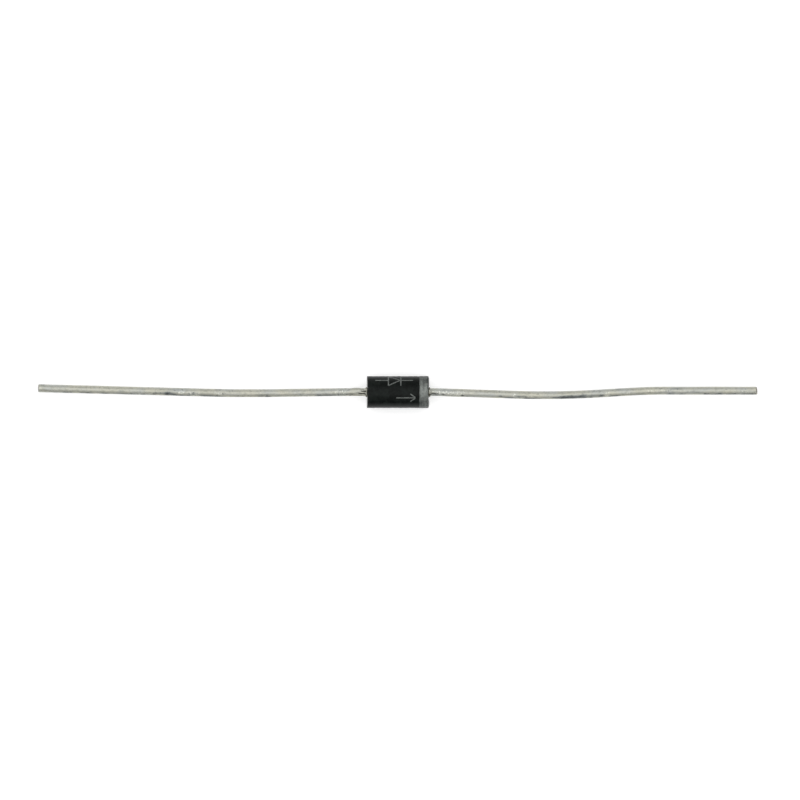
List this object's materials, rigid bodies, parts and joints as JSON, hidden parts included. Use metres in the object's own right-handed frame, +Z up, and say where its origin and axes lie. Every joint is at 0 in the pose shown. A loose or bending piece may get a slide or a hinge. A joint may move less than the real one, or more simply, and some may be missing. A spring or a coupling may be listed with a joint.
{
  "type": "axial rectifier diode",
  "caption": "Axial-lead rectifier diode: black moulded barrel with a grey cathode band, tinned copper leads that slope down to the table, and the chip, solder and coating inside.",
  "frame": {"origin": "centre of the moulded body, on its axis", "axes": "+X along the body's axis towards the cathode lead, on the side of the band; +Z up from the table the diode lies on"},
  "size_m": [0.0606, 0.0028, 0.0028],
  "materials": {
    "moulding_epoxy": "satin",
    "band_ink": "matte",
    "tinned_copper": "satin",
    "silicon": "polished",
    "solder": "satin",
    "silicone_rubber": "satin"
  },
  "bodies": {
    "root": {"moulded_body": "moulding_epoxy", "cathode_band": "band_ink", "anode_lead": "tinned_copper", "cathode_lead": "tinned_copper", "silicon_die": "silicon", "anode_solder": "solder", "cathode_solder": "solder", "junction_coating": "silicone_rubber"}
  },
  "joints": []
}
